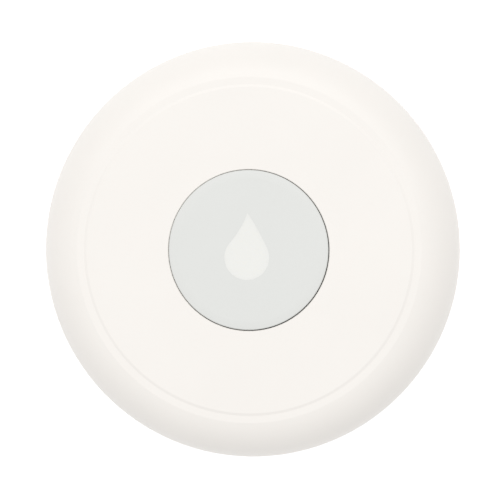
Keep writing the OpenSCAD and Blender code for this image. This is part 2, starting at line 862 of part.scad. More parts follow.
module main_pcb() {
    notch_r = boss_r + boss_gap;
    color(MASK)
        translate([0, 0, board_z0])
            linear_extrude(board_t)
                difference() {
                    circle(r = board_r);
                    at_polar(screw_x, screw_angles) {
                        circle(r = notch_r);
                        translate([0, -notch_r])
                            square([board_r, 2 * notch_r]);
                    }
                    at_polar(board_screw_x, board_screw_angles)
                        circle(r = board_screw_r + shank_gap);
                }
}

module pcb_screws() {
    color(STEEL)
        at_polar(board_screw_x, board_screw_angles)
            translate([0, 0, board_z0])
                screw(board_screw_r, board_screw_l, board_head_r, board_head_h);
}

module contact_pads() {
    color(GOLD)
        translate([0, 0, pad_bottom_z]) {
            at_polar(probe_x, probe_angles)
                cylinder(r = probe_pad_r, h = pad_metal_t);
            for (side = [-1, 1])
                translate([side * finger_x, finger_y, 0])
                    cylinder(r = finger_pad_r, h = pad_metal_t);
        }
}

module switch_body() {
    well_h = plunger_in + plunger_out;
    lid_w = switch_w - 2 * switch_lid_margin;
    rivet_x = lid_w / 2 - rivet_inset;
    leg_x = (switch_w + switch_leg_l - BITE) / 2;
    color(BLACK)
        difference() {
            union() {
                box([switch_w, switch_w, switch_h - switch_lid_t], board_z1);
                box([lid_w, lid_w, switch_h], board_z1);
                for (x = [-1, 1], y = [-1, 1]) {
                    translate([x * rivet_x, y * rivet_x, switch_z - BITE])
                        cylinder(r = rivet_r, h = rivet_h + BITE);
                    translate([x * leg_x, y * switch_leg_pitch / 2, 0])
                        box([switch_leg_l + BITE, switch_leg_w, leg_t], board_z1);
                }
            }
            translate([0, 0, switch_z - well_h])
                cylinder(r = plunger_r + run_gap, h = well_h + CUT);
        }
}

module switch_plunger() {
    h = plunger_in + plunger_out;
    color(GREY)
        translate([0, 0, switch_z - plunger_in])
            rotate_extrude()
                polygon([
                    [0, 0], [plunger_r, 0], [plunger_r, h - plunger_bevel],
                    [plunger_r - plunger_bevel, h], [0, h]
                ]);
}

module status_led() {
    color(PALE)
        translate([0, led_y, 0]) {
            box([led_l, led_w, led_base_h], board_z1);
            translate([0, 0, board_z1])
                cylinder(r = led_lens_r, h = led_h);
        }
}

module radio_board() {
    color(MASK)
        difference() {
            translate([0, radio_y, 0])
                box([radio_l, radio_w, radio_t], board_z1);
            for (i = [0:castle_n - 1], side = [-1, 1])
                translate([
                    radio_can_x + (i - (castle_n - 1) / 2) * castle_pitch,
                    radio_y + side * radio_w / 2,
                    board_z1 - CUT
                ])
                    cylinder(r = castle_r, h = radio_t + 2 * CUT);
        }
}

module radio_shield() {
    color(STEEL)
        translate([radio_can_x, radio_y, board_z1 + radio_t]) {
            linear_extrude(shield_h)
                rounded(shield_l - 2 * shield_lid_t, shield_w - 2 * shield_lid_t, shield_corner);
            translate([0, 0, shield_h - shield_lid_h])
                linear_extrude(shield_lid_h)
                    rounded(shield_l, shield_w, shield_corner);
        }
}

module buzzer() {
    body_in_r = buzzer_d / 2 - buzzer_step;
    color(BLACK)
        translate([0, buzzer_y, board_z0 - buzzer_h])
            rotate_extrude()
                polygon([
                    [buzzer_hole_d / 2, 0], [body_in_r - buzzer_bevel, 0], [body_in_r, buzzer_bevel],
                    [body_in_r, buzzer_h - buzzer_foot_h], [buzzer_d / 2, buzzer_h - buzzer_foot_h],
                    [buzzer_d / 2, buzzer_h], [0, buzzer_h], [0, buzzer_hole_h],
                    [buzzer_hole_d / 2, buzzer_hole_h]
                ]);
}

// Drum core of the coil, upside down under the board
module coil_core() {
    waist = coil_d / 2 - coil_groove;
    rotate_extrude()
        polygon([
            [0, 0], [coil_d / 2, 0], [coil_d / 2, -coil_flange_t], [waist, -coil_flange_t],
            [waist, coil_flange_t - coil_h], [coil_d / 2, coil_flange_t - coil_h], [coil_d / 2, -coil_h],
            [0, -coil_h]
        ]);
}

module capacitor() {
    box([cap_foot_w, cap_foot_w, cap_foot_h], -cap_foot_h);
    rotate_extrude()
        polygon([
            [0, 0], [cap_d / 2, 0], [cap_d / 2, cap_bevel - cap_h],
            [cap_d / 2 - cap_bevel, -cap_h], [0, -cap_h]
        ]);
}

module processor() {
    corner = chip_w / 2 - dimple_inset;
    difference() {
        box([chip_w, chip_w, chip_h], -chip_h);
        translate([-corner, corner, -chip_h - CUT])
            cylinder(r = dimple_r, h = dimple_h + CUT);
    }
    for (i = [0:chip_leg_n - 1])
        translate([0, (i - (chip_leg_n - 1) / 2) * chip_leg_pitch, 0])
            box([chip_w + 2 * chip_leg_l, chip_leg_w, leg_t], -leg_t);
}

// The row starts beside a screw boss and leaves its third place free
module pcb_components() {
    color(BLACK)
        translate([0, parts_y, board_z0]) {
            translate([cap_x, 0, 0])
                capacitor();
            translate([cap_x + parts_pitch, 0, 0])
                coil_core();
            translate([cap_x + 3 * parts_pitch, 0, 0])
                processor();
            for (i = [0:small_n - 1])
                translate([(i - (small_n - 1) / 2) * 2 * small_l, chip_w / 2 + small_l, 0])
                    box([small_w, small_l, small_h], -small_h);
        }
}

module contact_pocket() {
    half_w = contact_w / 2;
    slot_x = plate_x - seat_gap;
    front_x = slot_x - lip_t;
    difference() {
        intersection() {
            translate([front_x, -half_w - seat_gap - pocket_t, floor_z - BITE])
                cube([spigot_r, contact_w + 2 * (seat_gap + pocket_t), lip_h + BITE]);
            cylinder(r = spigot_in_r + BITE, h = body_h);
        }
        translate([slot_x, -half_w - seat_gap, floor_z])
            cube([contact_t + 2 * seat_gap, contact_w + 2 * seat_gap, lip_h + CUT]);
        translate([front_x - CUT, lip_over - half_w, floor_z])
            cube([lip_t + 2 * CUT, contact_w - 2 * lip_over, lip_h + CUT]);
    }
}

module base_cover() {
    color(WHITE)
        difference() {
            union() {
                rotate_extrude()
                    base_section();
                at_polar(screw_x, screw_angles)
                    translate([0, 0, floor_z - BITE])
                        cylinder(r = post_r, h = post_z - floor_z + BITE);
                at_polar(probe_x, probe_angles)
                    translate([0, 0, floor_z - BITE])
                        cylinder(r = probe_bore_r + probe_boss_t, h = probe_boss_h + BITE);
                cradles();
                for (turn = [0, 180])
                    rotate(turn)
                        contact_pocket();
            }
            at_polar(screw_x, screw_angles) {
                translate([0, 0, foot_h - CUT])
                    cylinder(r = screw_head_r + head_gap, h = screw_well_h + CUT);
                cylinder(r = screw_r + shank_gap, h = post_z + CUT);
            }
            at_polar(probe_x, probe_angles) {
                translate([0, 0, foot_h - CUT])
                    cylinder(r = probe_head_r + head_gap, h = probe_seat_z - foot_h + CUT);
                cylinder(r = probe_bore_r, h = probe_boss_z + CUT);
            }
            translate([0, buzzer_y, 0])
                cylinder(r = vent_r, h = floor_z + CUT);
        }
}

module cradles() {
    cradle_w = cell_d + 2 * (shank_gap + cradle_wall);
    difference() {
        for (side = [-1, 1])
            translate([side * cradle_span / 2, 0, 0])
                box([cradle_t, cradle_w, cell_z - floor_z + BITE], floor_z - BITE);
        translate([-cradle_span, 0, cell_z])
            rotate([0, 90, 0])
                cylinder(r = cell_r + shank_gap, h = 2 * cradle_span);
    }
}

module housing_seal() {
    color(RUBBER)
        rotate_extrude()
            translate([spigot_r + seal_room, base_z + seal_room])
                circle(r = seal_r);
}

module housing_screws() {
    color(STEEL)
        at_polar(screw_x, screw_angles)
            translate([0, 0, screw_seat_z])
                screw(screw_r, screw_l, screw_head_r, screw_head_h);
}

module probe_feet() {
    groove_r = probe_r - clip_bite;
    groove_z = clip_z + clip_t + seat_gap;
    color(STEEL)
        at_polar(probe_x, probe_angles)
            rotate_extrude()
                polygon([
                    [0, 0], [probe_tip_r, 0], [probe_head_r, probe_cone_h], [probe_head_r, probe_head_z],
                    [probe_r, probe_head_z], [probe_r, probe_boss_z], [groove_r, probe_boss_z],
                    [groove_r, groove_z], [probe_r, groove_z], [probe_r, probe_top_z], [0, probe_top_z]
                ]);
}

module probe_seals() {
    color(RUBBER)
        at_polar(probe_x, probe_angles)
            translate([0, 0, probe_seal_z])
                rotate_extrude()
                    translate([probe_r + seat_gap + probe_seal_t / 2, 0])
                        circle(d = probe_seal_t);
}

module probe_clips() {
    color(STEEL)
        at_polar(probe_x, probe_angles)
            translate([0, 0, clip_z])
                difference() {
                    tube(clip_r, probe_r - clip_bite + seat_gap, clip_t);
                    translate([0, -clip_mouth / 2, -CUT])
                        cube([clip_r + CUT, clip_mouth, clip_t + 2 * CUT]);
                }
}

module probe_springs() {
    lift = probe_spring_wire / 2;
    color(STEEL)
        at_polar(probe_x, probe_angles)
            translate([0, 0, probe_spring_z + lift])
                coil(
                    probe_spring_r, probe_spring_r, pad_bottom_z - seat_gap - probe_spring_z - 2 * lift,
                    probe_spring_turns, probe_spring_wire
                );
}

module battery_can() {
    can_r = cell_r - sleeve_t - seat_gap;
    shoulder = cell_l - cell_nub_l;
    color(STEEL)
        translate([cell_x0, 0, cell_z])
            rotate([0, 90, 0])
                rotate_extrude()
                    polygon([
                        [0, 0], [can_r - cell_bevel, 0], [can_r, cell_bevel], [can_r, shoulder - cell_bevel],
                        [can_r - cell_bevel, shoulder], [cell_nub_r, shoulder],
                        [cell_nub_r, cell_l - cell_nub_bevel], [cell_nub_r - cell_nub_bevel, cell_l],
                        [0, cell_l]
                    ]);
}

module battery_sleeve() {
    color(SLEEVE)
        translate([cell_x0 + sleeve_end, 0, cell_z])
            rotate([0, 90, 0])
                tube(cell_r, cell_r - sleeve_t, cell_l - cell_nub_l - 2 * sleeve_end);
}

// Contact plate at the +X end, with a bent finger under the board
module contact_plate() {
    translate([plate_x, -contact_w / 2, floor_z + seat_gap])
        cube([contact_t, contact_w, contact_h]);
    translate([plate_x, finger_y - finger_w / 2, floor_z + contact_h - BITE])
        cube([contact_t, finger_w, finger_z - floor_z - contact_h + BITE]);
    translate([end_x - finger_l, finger_y - finger_w / 2, finger_z - contact_t])
        cube([finger_l, finger_w, contact_t]);
}

// Plate with a pressed dimple that meets the cell
module positive_contact() {
    dome_r = (bump_r * bump_r + bump_h * bump_h) / (2 * bump_h);
    dome_x = plate_x - bump_h + dome_r;
    color(STEEL)
        difference() {
            union() {
                contact_plate();
                intersection() {
                    translate([dome_x, 0, cell_z])
                        sphere(r = dome_r);
                    translate([plate_x - bump_h - CUT, 0, cell_z])
                        rotate([0, 90, 0])
                            cylinder(r = 2 * bump_r, h = bump_h + CUT + contact_t / 2);
                }
            }
            translate([dome_x, 0, cell_z])
                sphere(r = dome_r - contact_t);
        }
}

module negative_contact() {
    color(STEEL)
        mirror([1, 0, 0])
            contact_plate();
}

module negative_spring() {
    lift = cell_spring_wire / 2 + seat_gap;
    color(STEEL)
        translate([-plate_x + lift, 0, cell_z])
            rotate([0, 90, 0])
                coil(
                    cell_spring_r, cell_spring_tip_r, cell_spring_l - 2 * lift, cell_spring_turns,
                    cell_spring_wire
                );
}

// Thin disc that keeps water out of the sound hole
module vent_disc() {
    color(PALE)
        translate([0, buzzer_y, floor_z])
            cylinder(r = vent_r + vent_rim, h = vent_t);
}

top_cover();
button_cap();
drop_inlay();
button_membrane();
membrane_ring();
main_pcb();
pcb_screws();
contact_pads();
switch_body();
switch_plunger();
status_led();
radio_board();
radio_shield();
buzzer();
pcb_components();
base_cover();
housing_seal();
housing_screws();
probe_feet();
probe_seals();
probe_clips();
probe_springs();
battery_can();
battery_sleeve();
negative_contact();
negative_spring();
positive_contact();
vent_disc();
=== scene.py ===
"""Looks of the round water leak sensor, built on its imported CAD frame.

The camera stands almost straight above the puck, as in the photograph. Lengths are in metres.
"""

import json
import math

import bmesh
import bpy
from mathutils import Matrix, Vector


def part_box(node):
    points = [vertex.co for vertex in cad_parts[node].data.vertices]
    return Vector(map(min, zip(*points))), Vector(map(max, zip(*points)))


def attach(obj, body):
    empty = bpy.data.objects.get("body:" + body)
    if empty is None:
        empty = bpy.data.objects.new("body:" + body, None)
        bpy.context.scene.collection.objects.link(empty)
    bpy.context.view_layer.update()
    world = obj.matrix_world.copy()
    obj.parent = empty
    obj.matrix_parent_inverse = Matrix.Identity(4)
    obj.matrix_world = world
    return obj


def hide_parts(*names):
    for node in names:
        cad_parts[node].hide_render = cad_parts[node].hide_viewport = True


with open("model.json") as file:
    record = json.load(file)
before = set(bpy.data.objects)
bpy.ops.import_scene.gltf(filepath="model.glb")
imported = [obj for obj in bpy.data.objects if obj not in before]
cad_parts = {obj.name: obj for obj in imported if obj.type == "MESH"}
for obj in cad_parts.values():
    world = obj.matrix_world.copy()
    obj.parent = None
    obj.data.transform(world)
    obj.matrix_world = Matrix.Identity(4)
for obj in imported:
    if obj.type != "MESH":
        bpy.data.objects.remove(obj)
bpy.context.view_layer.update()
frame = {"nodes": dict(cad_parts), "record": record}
MM = 0.001
EPS = 0.01 * MM
MERGE = 0.0005 * MM  # points of a CAD mesh this close are one

# Photograph: 500 pixels square, the puck's outline as a circle in it
PHOTO_PX = 500
OUTLINE_X_PX = 252.2
OUTLINE_Y_PX = 249.35
OUTLINE_R_PX = 207.6

# Camera: its distance, and how far it leans from the vertical towards +X and +Y
CAMERA_DISTANCE = 0.7
LEAN_X = math.radians(4.7)
LEAN_Y = math.radians(1.2)
SENSOR_MM = 36.0

# Studio: the glow is only what the camera and reflections see, and lights nothing
FLOOR_SIZE = 6.0
FLOOR_GREY = 0.87
FLOOR_GLOW = 0.65
WORLD_LEVEL = 0.67
LAMP_DISTANCE = 1.0
LAMP_SIZE = 0.9
LAMP_ZENITH = math.radians(22)
LAMP_AZIMUTH = math.radians(94)
LAMP_WATTS = 4.1

# Sizes of the CAD pieces that the finer meshes repeat
PROBE_WIRE = 0.4 * MM
PROBE_TURNS = 8
CELL_WIRE = 0.5 * MM
CELL_SPRING_R = 3.6 * MM
CELL_SPRING_TIP_R = 1.6 * MM
CELL_SPRING_TURNS = 2
CASE_SCREW_R = 1.1 * MM
CASE_HEAD_H = 1.6 * MM
BOARD_SCREW_R = 0.9 * MM
BOARD_HEAD_H = 1.2 * MM
SCREW_TIP_L = 1.0 * MM
SCREW_TIP_R = 0.4 * MM
PAD_R = 7.9 * MM
PAD_H = 1.0 * MM
WEB_T = 0.4 * MM
NUB_R = 1.6 * MM
NUB_H = 1.1 * MM
BEAD_T = 1.6 * MM
SLEEVE_T = 0.13 * MM
CELL_NUB_R = 1.9 * MM
CELL_NUB_L = 0.8 * MM
SWITCH_LEG_PITCH = 3.2 * MM
SWITCH_W = 5.2 * MM
SWITCH_LID_H = 0.5 * MM
SWITCH_WELL_R = 1.32 * MM
CHIP_W = 5.5 * MM
CHIP_LEG_N = 7
CHIP_LEG_PITCH = 0.65 * MM
CASTLE_N = 6
CASTLE_PITCH = 1.3 * MM
COIL_FLANGE_T = 0.6 * MM
CAP_FOOT_H = 0.6 * MM
LED_BASE_H = 0.5 * MM
BUZZER_PITCH = 6.5 * MM
CHIP_CAP_SHARE = 0.3  # where a small chip's metal ends begin, as a share of its length
LARGE_PART = 3 * MM   # a part on the board wider than this has a name of its own

# Details of the finer meshes
SHANK_SINK = 0.2 * MM
MEMBRANE_SLIT = 0.05 * MM
SLEEVE_LIP = 0.75 * MM
SLEEVE_LIP_T = 0.08 * MM
SLEEVE_EDGE = 0.45 * MM
WASHER_T = 0.2 * MM
WASHER_PLAY = 0.25 * MM
WASHER_INSET = 0.1 * MM
COIL_WIRE = 0.27 * MM
SILK_GAP = 0.45 * MM  # from a part to the outline printed round it
SILK_W = 0.15 * MM
SILK_T = 0.02 * MM
MARK_X = 12.6 * MM
MARK_Y = 8.2 * MM
MARK_L = 2.6 * MM
MARK_W = 0.7 * MM
MARK_H = 0.2 * MM
DRAFT = 0.5           # slope of the sides of raised lines
STEPS = 40            # points along one turn of wire
SIDES = 12            # sides of a wire
ROUND = 96            # sides of a turned form
THREAD_SIDES = 24
THREAD_ROWS = 8       # rows of points along one pitch of a thread


def srgb(r, g, b):
    """Linear colour of an sRGB triple from 0 to 255."""
    def linear(v):
        v /= 255
        return v / 12.92 if v <= 0.04045 else ((v + 0.055) / 1.055) ** 2.4

    return tuple(linear(v) for v in (r, g, b))


WARM_WHITE = srgb(246, 242, 237)
BUTTON_GREY = srgb(226, 227, 224)
DROP_WHITE = srgb(237, 237, 233)
SILICONE = srgb(226, 226, 222)
NATURAL = srgb(222, 220, 212)
MASK_GREEN = srgb(22, 92, 58)
TRACE_GREEN = srgb(46, 128, 82)
LAMINATE = srgb(178, 170, 112)
NEAR_BLACK = srgb(34, 34, 36)
FERRITE = srgb(58, 57, 58)
CERAMIC = srgb(176, 152, 122)
GOLD = srgb(226, 186, 104)
COPPER = srgb(206, 122, 74)
ZINC = srgb(196, 197, 196)
STAINLESS = srgb(206, 205, 202)
NICKEL = srgb(200, 198, 192)
TIN = srgb(212, 211, 206)
ALUMINIUM = srgb(214, 215, 216)
SLEEVE_BLUE = srgb(40, 62, 104)
SLEEVE_COPPER = srgb(188, 124, 78)
FIBRE = srgb(70, 66, 62)
LENS = srgb(236, 230, 196)
VENT_WHITE = srgb(236, 236, 232)
INK_WHITE = srgb(228, 228, 222)


# Materials

NOISE_LOW = 0.3   # most values of a noise lie between these two
NOISE_HIGH = 0.7
BOARD_TRACES = {
    "Scale": 1 / MM, "Brick Width": 6.5, "Row Height": 1.1, "Mortar Size": 0.14, "Mortar Smooth": 0.1,
}
BOARD_HOLES = {"Scale": 1 / (3.1 * MM), "Randomness": 0.85}
HOLE_SHARE = 0.11    # radius of a plated hole, as a share of the holes' spacing
TRACE_LEVEL = 0.48   # traces run where a broad noise is above this
COPPER_SHARE = 0.28  # copper end of the cell's sleeve, as a share of its length


def shader(name):
    """New material, with its tree and its surface shader."""
    mat = bpy.data.materials.new(name)
    mat.use_nodes = True
    return mat, mat.node_tree, mat.node_tree.nodes["Principled BSDF"]


def coordinates(tree):
    """Place on the piece, which moves with it."""
    return tree.nodes.new("ShaderNodeTexCoord").outputs["Object"]


def noise(tree, size, detail=3.0):
    """Noise with grains of about the given size, fixed to the piece."""
    tex = tree.nodes.new("ShaderNodeTexNoise")
    tex.inputs["Scale"].default_value = 1 / size
    tex.inputs["Detail"].default_value = detail
    tree.links.new(coordinates(tree), tex.inputs["Vector"])
    return tex.outputs["Fac"]


def spread(tree, value, low, high):
    """Maps the middle of a noise to the range from low to high."""
    node = tree.nodes.new("ShaderNodeMapRange")
    node.inputs["From Min"].default_value = NOISE_LOW
    node.inputs["From Max"].default_value = NOISE_HIGH
    node.inputs["To Min"].default_value = low
    node.inputs["To Max"].default_value = high
    tree.links.new(value, node.inputs["Value"])
    return node.outputs["Result"]


def blend(tree, factor, a, b):
    """Mixes two colours, each a triple or a socket."""
    node = tree.nodes.new("ShaderNodeMix")
    node.data_type = "RGBA"
    tree.links.new(factor, node.inputs["Factor"])
    for socket, value in ((node.inputs[6], a), (node.inputs[7], b)):
        if isinstance(value, tuple):
            socket.default_value = (*value, 1)
        else:
            tree.links.new(value, socket)
    return node.outputs[2]


def combine(tree, operation, *values):
    """One maths step on some values, each a number or a socket."""
    node = tree.nodes.new("ShaderNodeMath")
    node.operation = operation
    for socket, value in zip(node.inputs, values):
        if isinstance(value, (int, float)):
            socket.default_value = value
        else:
            tree.links.new(value, socket)
    return node.outputs["Value"]


def bump(tree, bsdf, value, depth):
    """Relief of the given depth from a value between 0 and 1."""
    node = tree.nodes.new("ShaderNodeBump")
    node.inputs["Strength"].default_value = 1.0
    node.inputs["Distance"].default_value = depth
    tree.links.new(value, node.inputs["Height"])
    tree.links.new(node.outputs["Normal"], bsdf.inputs["Normal"])


def shade(colour, factor):
    """The colour made lighter or darker."""
    return tuple(min(1.0, c * factor) for c in colour)


def mottle(tree, bsdf, colour, size, amount):
    """Base colour that wanders a little round the given one."""
    factor = spread(tree, noise(tree, size), 0.0, 1.0)
    tree.links.new(
        blend(tree, factor, shade(colour, 1 - amount), shade(colour, 1 + amount)),
        bsdf.inputs["Base Color"],
    )


def roughen(tree, bsdf, value, level, swing):
    """Roughness that follows a noise round the given level."""
    tree.links.new(spread(tree, value, level - swing, level + swing), bsdf.inputs["Roughness"])


def moulded(name, colour, roughness=0.45, grain=0.25 * MM, depth=0.004 * MM, glow=0.0):
    """Moulded plastic with a fine eroded grain; glow lets some light in under the surface."""
    mat, tree, bsdf = shader(name)
    mottle(tree, bsdf, colour, size=9 * MM, amount=0.006)
    fine = noise(tree, grain, detail=2.0)
    roughen(tree, bsdf, fine, roughness, swing=0.04)
    bump(tree, bsdf, fine, depth)
    bsdf.inputs["Subsurface Weight"].default_value = glow
    bsdf.inputs["Subsurface Radius"].default_value = (1.0, 0.95, 0.85)
    bsdf.inputs["Subsurface Scale"].default_value = 0.8 * MM
    return mat


def rubber(name, colour, roughness=0.6, grain=0.15 * MM):
    """Dull rubber or fibre."""
    mat, tree, bsdf = shader(name)
    mottle(tree, bsdf, colour, size=2 * MM, amount=0.08)
    fine = noise(tree, grain)
    roughen(tree, bsdf, fine, roughness, swing=0.08)
    bump(tree, bsdf, fine, depth=0.004 * MM)
    return mat


def metal(name, colour, roughness, grain=0.3 * MM):
    """Bare or plated metal with a fine uneven sheen."""
    mat, tree, bsdf = shader(name)
    bsdf.inputs["Metallic"].default_value = 1.0
    mottle(tree, bsdf, colour, size=1.5 * MM, amount=0.05)
    fine = noise(tree, grain, detail=4.0)
    roughen(tree, bsdf, fine, roughness, swing=0.08)
    bump(tree, bsdf, fine, depth=0.002 * MM)
    return mat


def turned(name, colour, centres, pitch=0.12 * MM, roughness=0.24, swing=0.03):
    """Metal with fine rings left by the lathe, about the nearest of the given upright axes."""
    mat, tree, bsdf = shader(name)
    bsdf.inputs["Metallic"].default_value = 1.0
    mottle(tree, bsdf, colour, size=1.5 * MM, amount=0.04)
    flat = tree.nodes.new("ShaderNodeVectorMath")
    flat.operation = "MULTIPLY"
    flat.inputs[1].default_value = (1, 1, 0)
    tree.links.new(coordinates(tree), flat.inputs[0])
    nearest = 1.0
    for x, y in centres:
        away = tree.nodes.new("ShaderNodeVectorMath")
        away.operation = "DISTANCE"
        away.inputs[1].default_value = (x, y, 0)
        tree.links.new(flat.outputs["Vector"], away.inputs[0])
        nearest = combine(tree, "MINIMUM", away.outputs["Value"], nearest)
    rings = combine(tree, "SINE", combine(tree, "MULTIPLY", nearest, math.tau / pitch))
    level = combine(tree, "MULTIPLY_ADD", rings, swing, roughness)
    tree.links.new(level, bsdf.inputs["Roughness"])
    bump(tree, bsdf, rings, depth=0.0015 * MM)
    return mat


def circuit_board(name):
    """Green solder mask with runs of paler traces under it and small plated holes."""
    mat, tree, bsdf = shader(name)
    lines = tree.nodes.new("ShaderNodeTexBrick")
    lines.offset = 0.37
    lines.offset_frequency = 3
    for socket, value in BOARD_TRACES.items():
        lines.inputs[socket].default_value = value
    tree.links.new(coordinates(tree), lines.inputs["Vector"])
    runs = combine(tree, "GREATER_THAN", noise(tree, 6 * MM, detail=0.0), TRACE_LEVEL)
    traces = combine(tree, "MULTIPLY", lines.outputs["Fac"], runs)
    mask = blend(tree, traces, MASK_GREEN, TRACE_GREEN)
    holes = tree.nodes.new("ShaderNodeTexVoronoi")
    for socket, value in BOARD_HOLES.items():
        holes.inputs[socket].default_value = value
    tree.links.new(coordinates(tree), holes.inputs["Vector"])
    outside = combine(tree, "GREATER_THAN", holes.outputs["Distance"], HOLE_SHARE)
    tree.links.new(blend(tree, outside, GOLD, mask), bsdf.inputs["Base Color"])
    roughen(tree, bsdf, noise(tree, 0.6 * MM), level=0.28, swing=0.06)
    bump(tree, bsdf, traces, depth=0.02 * MM)
    return mat


def cell_sleeve(name):
    """Plain two-tone sleeve of a cell, copper at its positive end."""
    mat, tree, bsdf = shader(name)
    apart = tree.nodes.new("ShaderNodeSeparateXYZ")
    tree.links.new(coordinates(tree), apart.inputs["Vector"])
    low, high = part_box("battery_sleeve")
    tip_x = high.x - (high.x - low.x) * COPPER_SHARE
    tip = combine(tree, "GREATER_THAN", apart.outputs["X"], tip_x)
    factor = spread(tree, noise(tree, 3 * MM), 0.0, 1.0)
    dark = blend(tree, factor, shade(SLEEVE_BLUE, 0.92), shade(SLEEVE_BLUE, 1.08))
    tree.links.new(blend(tree, tip, dark, SLEEVE_COPPER), bsdf.inputs["Base Color"])
    roughen(tree, bsdf, noise(tree, 0.8 * MM), level=0.25, swing=0.05)
    return mat


PROBES = [mount["pos_m"][:2] for mount in frame["record"]["mounts"]]
MATERIALS = {
    "white_plastic": moulded("white_plastic", WARM_WHITE),
    "grey_plastic": moulded("grey_plastic", BUTTON_GREY, roughness=0.5),
    "diffuser": moulded("diffuser", DROP_WHITE, roughness=0.4, glow=0.1),
    "silicone": moulded("silicone", SILICONE, roughness=0.5, glow=0.4),
    "inner_plastic": moulded("inner_plastic", NATURAL, roughness=0.4),
    "circuit_board": circuit_board("circuit_board"),
    "black_plastic": moulded("black_plastic", NEAR_BLACK, roughness=0.4),
    "led_lens": moulded("led_lens", LENS, roughness=0.2, glow=0.2),
    "gold_pad": metal("gold_pad", GOLD, roughness=0.25),
    "seal_rubber": rubber("seal_rubber", NEAR_BLACK),
    "screw_steel": metal("screw_steel", ZINC, roughness=0.35),
    "stainless": turned("stainless", STAINLESS, PROBES),
    "spring_steel": metal("spring_steel", NICKEL, roughness=0.25),
    "tinned_steel": metal("tinned_steel", TIN, roughness=0.32),
    "cell_metal": metal("cell_metal", NICKEL, roughness=0.3),
    "cell_sleeve": cell_sleeve("cell_sleeve"),
    "vent_membrane": moulded("vent_membrane", VENT_WHITE, roughness=0.8),
}
copper_wire = metal("copper_wire", COPPER, roughness=0.3)
can_aluminium = metal("can_aluminium", ALUMINIUM, roughness=0.35)
ferrite = moulded("ferrite", FERRITE, roughness=0.55, grain=0.1 * MM)
ceramic = moulded("ceramic", CERAMIC, roughness=0.4, grain=0.1 * MM)
laminate = moulded("laminate", LAMINATE, roughness=0.6, grain=0.1 * MM)
fibre = rubber("fibre", FIBRE, roughness=0.8)
white_ink = moulded("white_ink", INK_WHITE, roughness=0.6, grain=0.08 * MM)


# CAD nodes


def solids(node):
    """Lowest and highest corner of each separate solid of a CAD node, by their angle about Z."""
    bm = bmesh.new()
    bm.from_mesh(frame["nodes"][node].data)
    bmesh.ops.remove_doubles(bm, verts=bm.verts, dist=MERGE)
    left = set(bm.verts)
    boxes = []
    while left:
        reached = [left.pop()]
        low = high = reached[0].co.copy()
        while reached:
            vert = reached.pop()
            low = Vector(map(min, low, vert.co))
            high = Vector(map(max, high, vert.co))
            for edge in vert.link_edges:
                other = edge.other_vert(vert)
                if other in left:
                    left.remove(other)
                    reached.append(other)
        boxes.append((low, high))
    bm.free()
    return sorted(boxes, key=lambda box: math.atan2(box[0].y + box[1].y, box[0].x + box[1].x))


def middle(box):
    """Centre of a box given by two corners."""
    return (box[0] + box[1]) / 2


def paint(node, *materials, rule=None):
    """Gives a node its materials; the rule picks one of them for a face."""
    mesh = frame["nodes"][node].data
    mesh.materials.clear()
    for material in materials:
        mesh.materials.append(material)
    if rule:
        for face in mesh.polygons:
            face.material_index = rule(face)


for part in frame["record"]["subparts"]:
    paint(part["node"], MATERIALS[part["material_slot"]])

TINNED = MATERIALS["tinned_steel"]
BOARD_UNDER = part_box("main_pcb")[0].z
BOARD_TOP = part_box("main_pcb")[1].z
board_parts = solids("pcb_components")
large_parts = [box for box in board_parts if box[1].x - box[0].x > LARGE_PART]
small_parts = [box for box in board_parts if box not in large_parts]
capacitor, coil, processor = sorted(large_parts, key=lambda box: box[0].x)


def inside(point, box):
    """Whether a point is in a box, or on it."""
    return all(low - EPS <= p <= high + EPS for p, low, high in zip(point, *box))


# Materials of the parts on the board, by their index
PACKAGE, LEGS, CAN, CORE, CHIP = range(5)


def part_material(face):
    """Index of the material of a face of the parts on the board."""
    place = face.center
    if inside(place, capacitor):
        return CAN if place.z < BOARD_UNDER - CAP_FOOT_H - EPS else PACKAGE
    if inside(place, coil):
        return CORE
    if inside(place, processor):
        return LEGS if abs(place.x - middle(processor).x) > CHIP_W / 2 + EPS else PACKAGE
    chip = next(box for box in small_parts if inside(place, box))
    cap_y = (chip[1].y - chip[0].y) * CHIP_CAP_SHARE
    return LEGS if abs(place.y - middle(chip).y) > cap_y else CHIP


def switch_material(face):
    """Metal for the legs and the lid round the plunger's well."""
    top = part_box("switch_body")[1].z
    leg = abs(face.center.x) > SWITCH_W / 2 + EPS
    lid = face.center.z > top - SWITCH_LID_H and face.center.xy.length > SWITCH_WELL_R
    return int(leg or lid)


paint(
    "pcb_components", MATERIALS["black_plastic"], TINNED, can_aluminium, ferrite, ceramic,
    rule=part_material,
)
paint("switch_body", MATERIALS["black_plastic"], TINNED, rule=switch_material)
paint(
    "status_led", MATERIALS["inner_plastic"], MATERIALS["led_lens"],
    rule=lambda face: int(face.center.z > BOARD_TOP + LED_BASE_H + EPS),
)
for board in ("main_pcb", "radio_board"):
    paint(
        board, MATERIALS["circuit_board"], laminate,
        rule=lambda face: int(abs(face.normal.z) < 0.5),
    )


# Finer meshes


def add_piece(name, bm, material, body, slot, *nodes, smooth=35):
    """Makes a piece of the mesh, which rides on a body and stands for the named nodes."""
    mesh = bpy.data.meshes.new(name)
    bmesh.ops.recalc_face_normals(bm, faces=bm.faces)
    bm.to_mesh(mesh)
    bm.free()
    mesh.shade_smooth()
    mesh.set_sharp_from_angle(angle=math.radians(smooth))
    mesh.materials.append(material)
    obj = bpy.data.objects.new(name, mesh)
    bpy.context.scene.collection.objects.link(obj)
    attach(obj, body)
    if nodes:
        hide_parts(*nodes)
    return obj


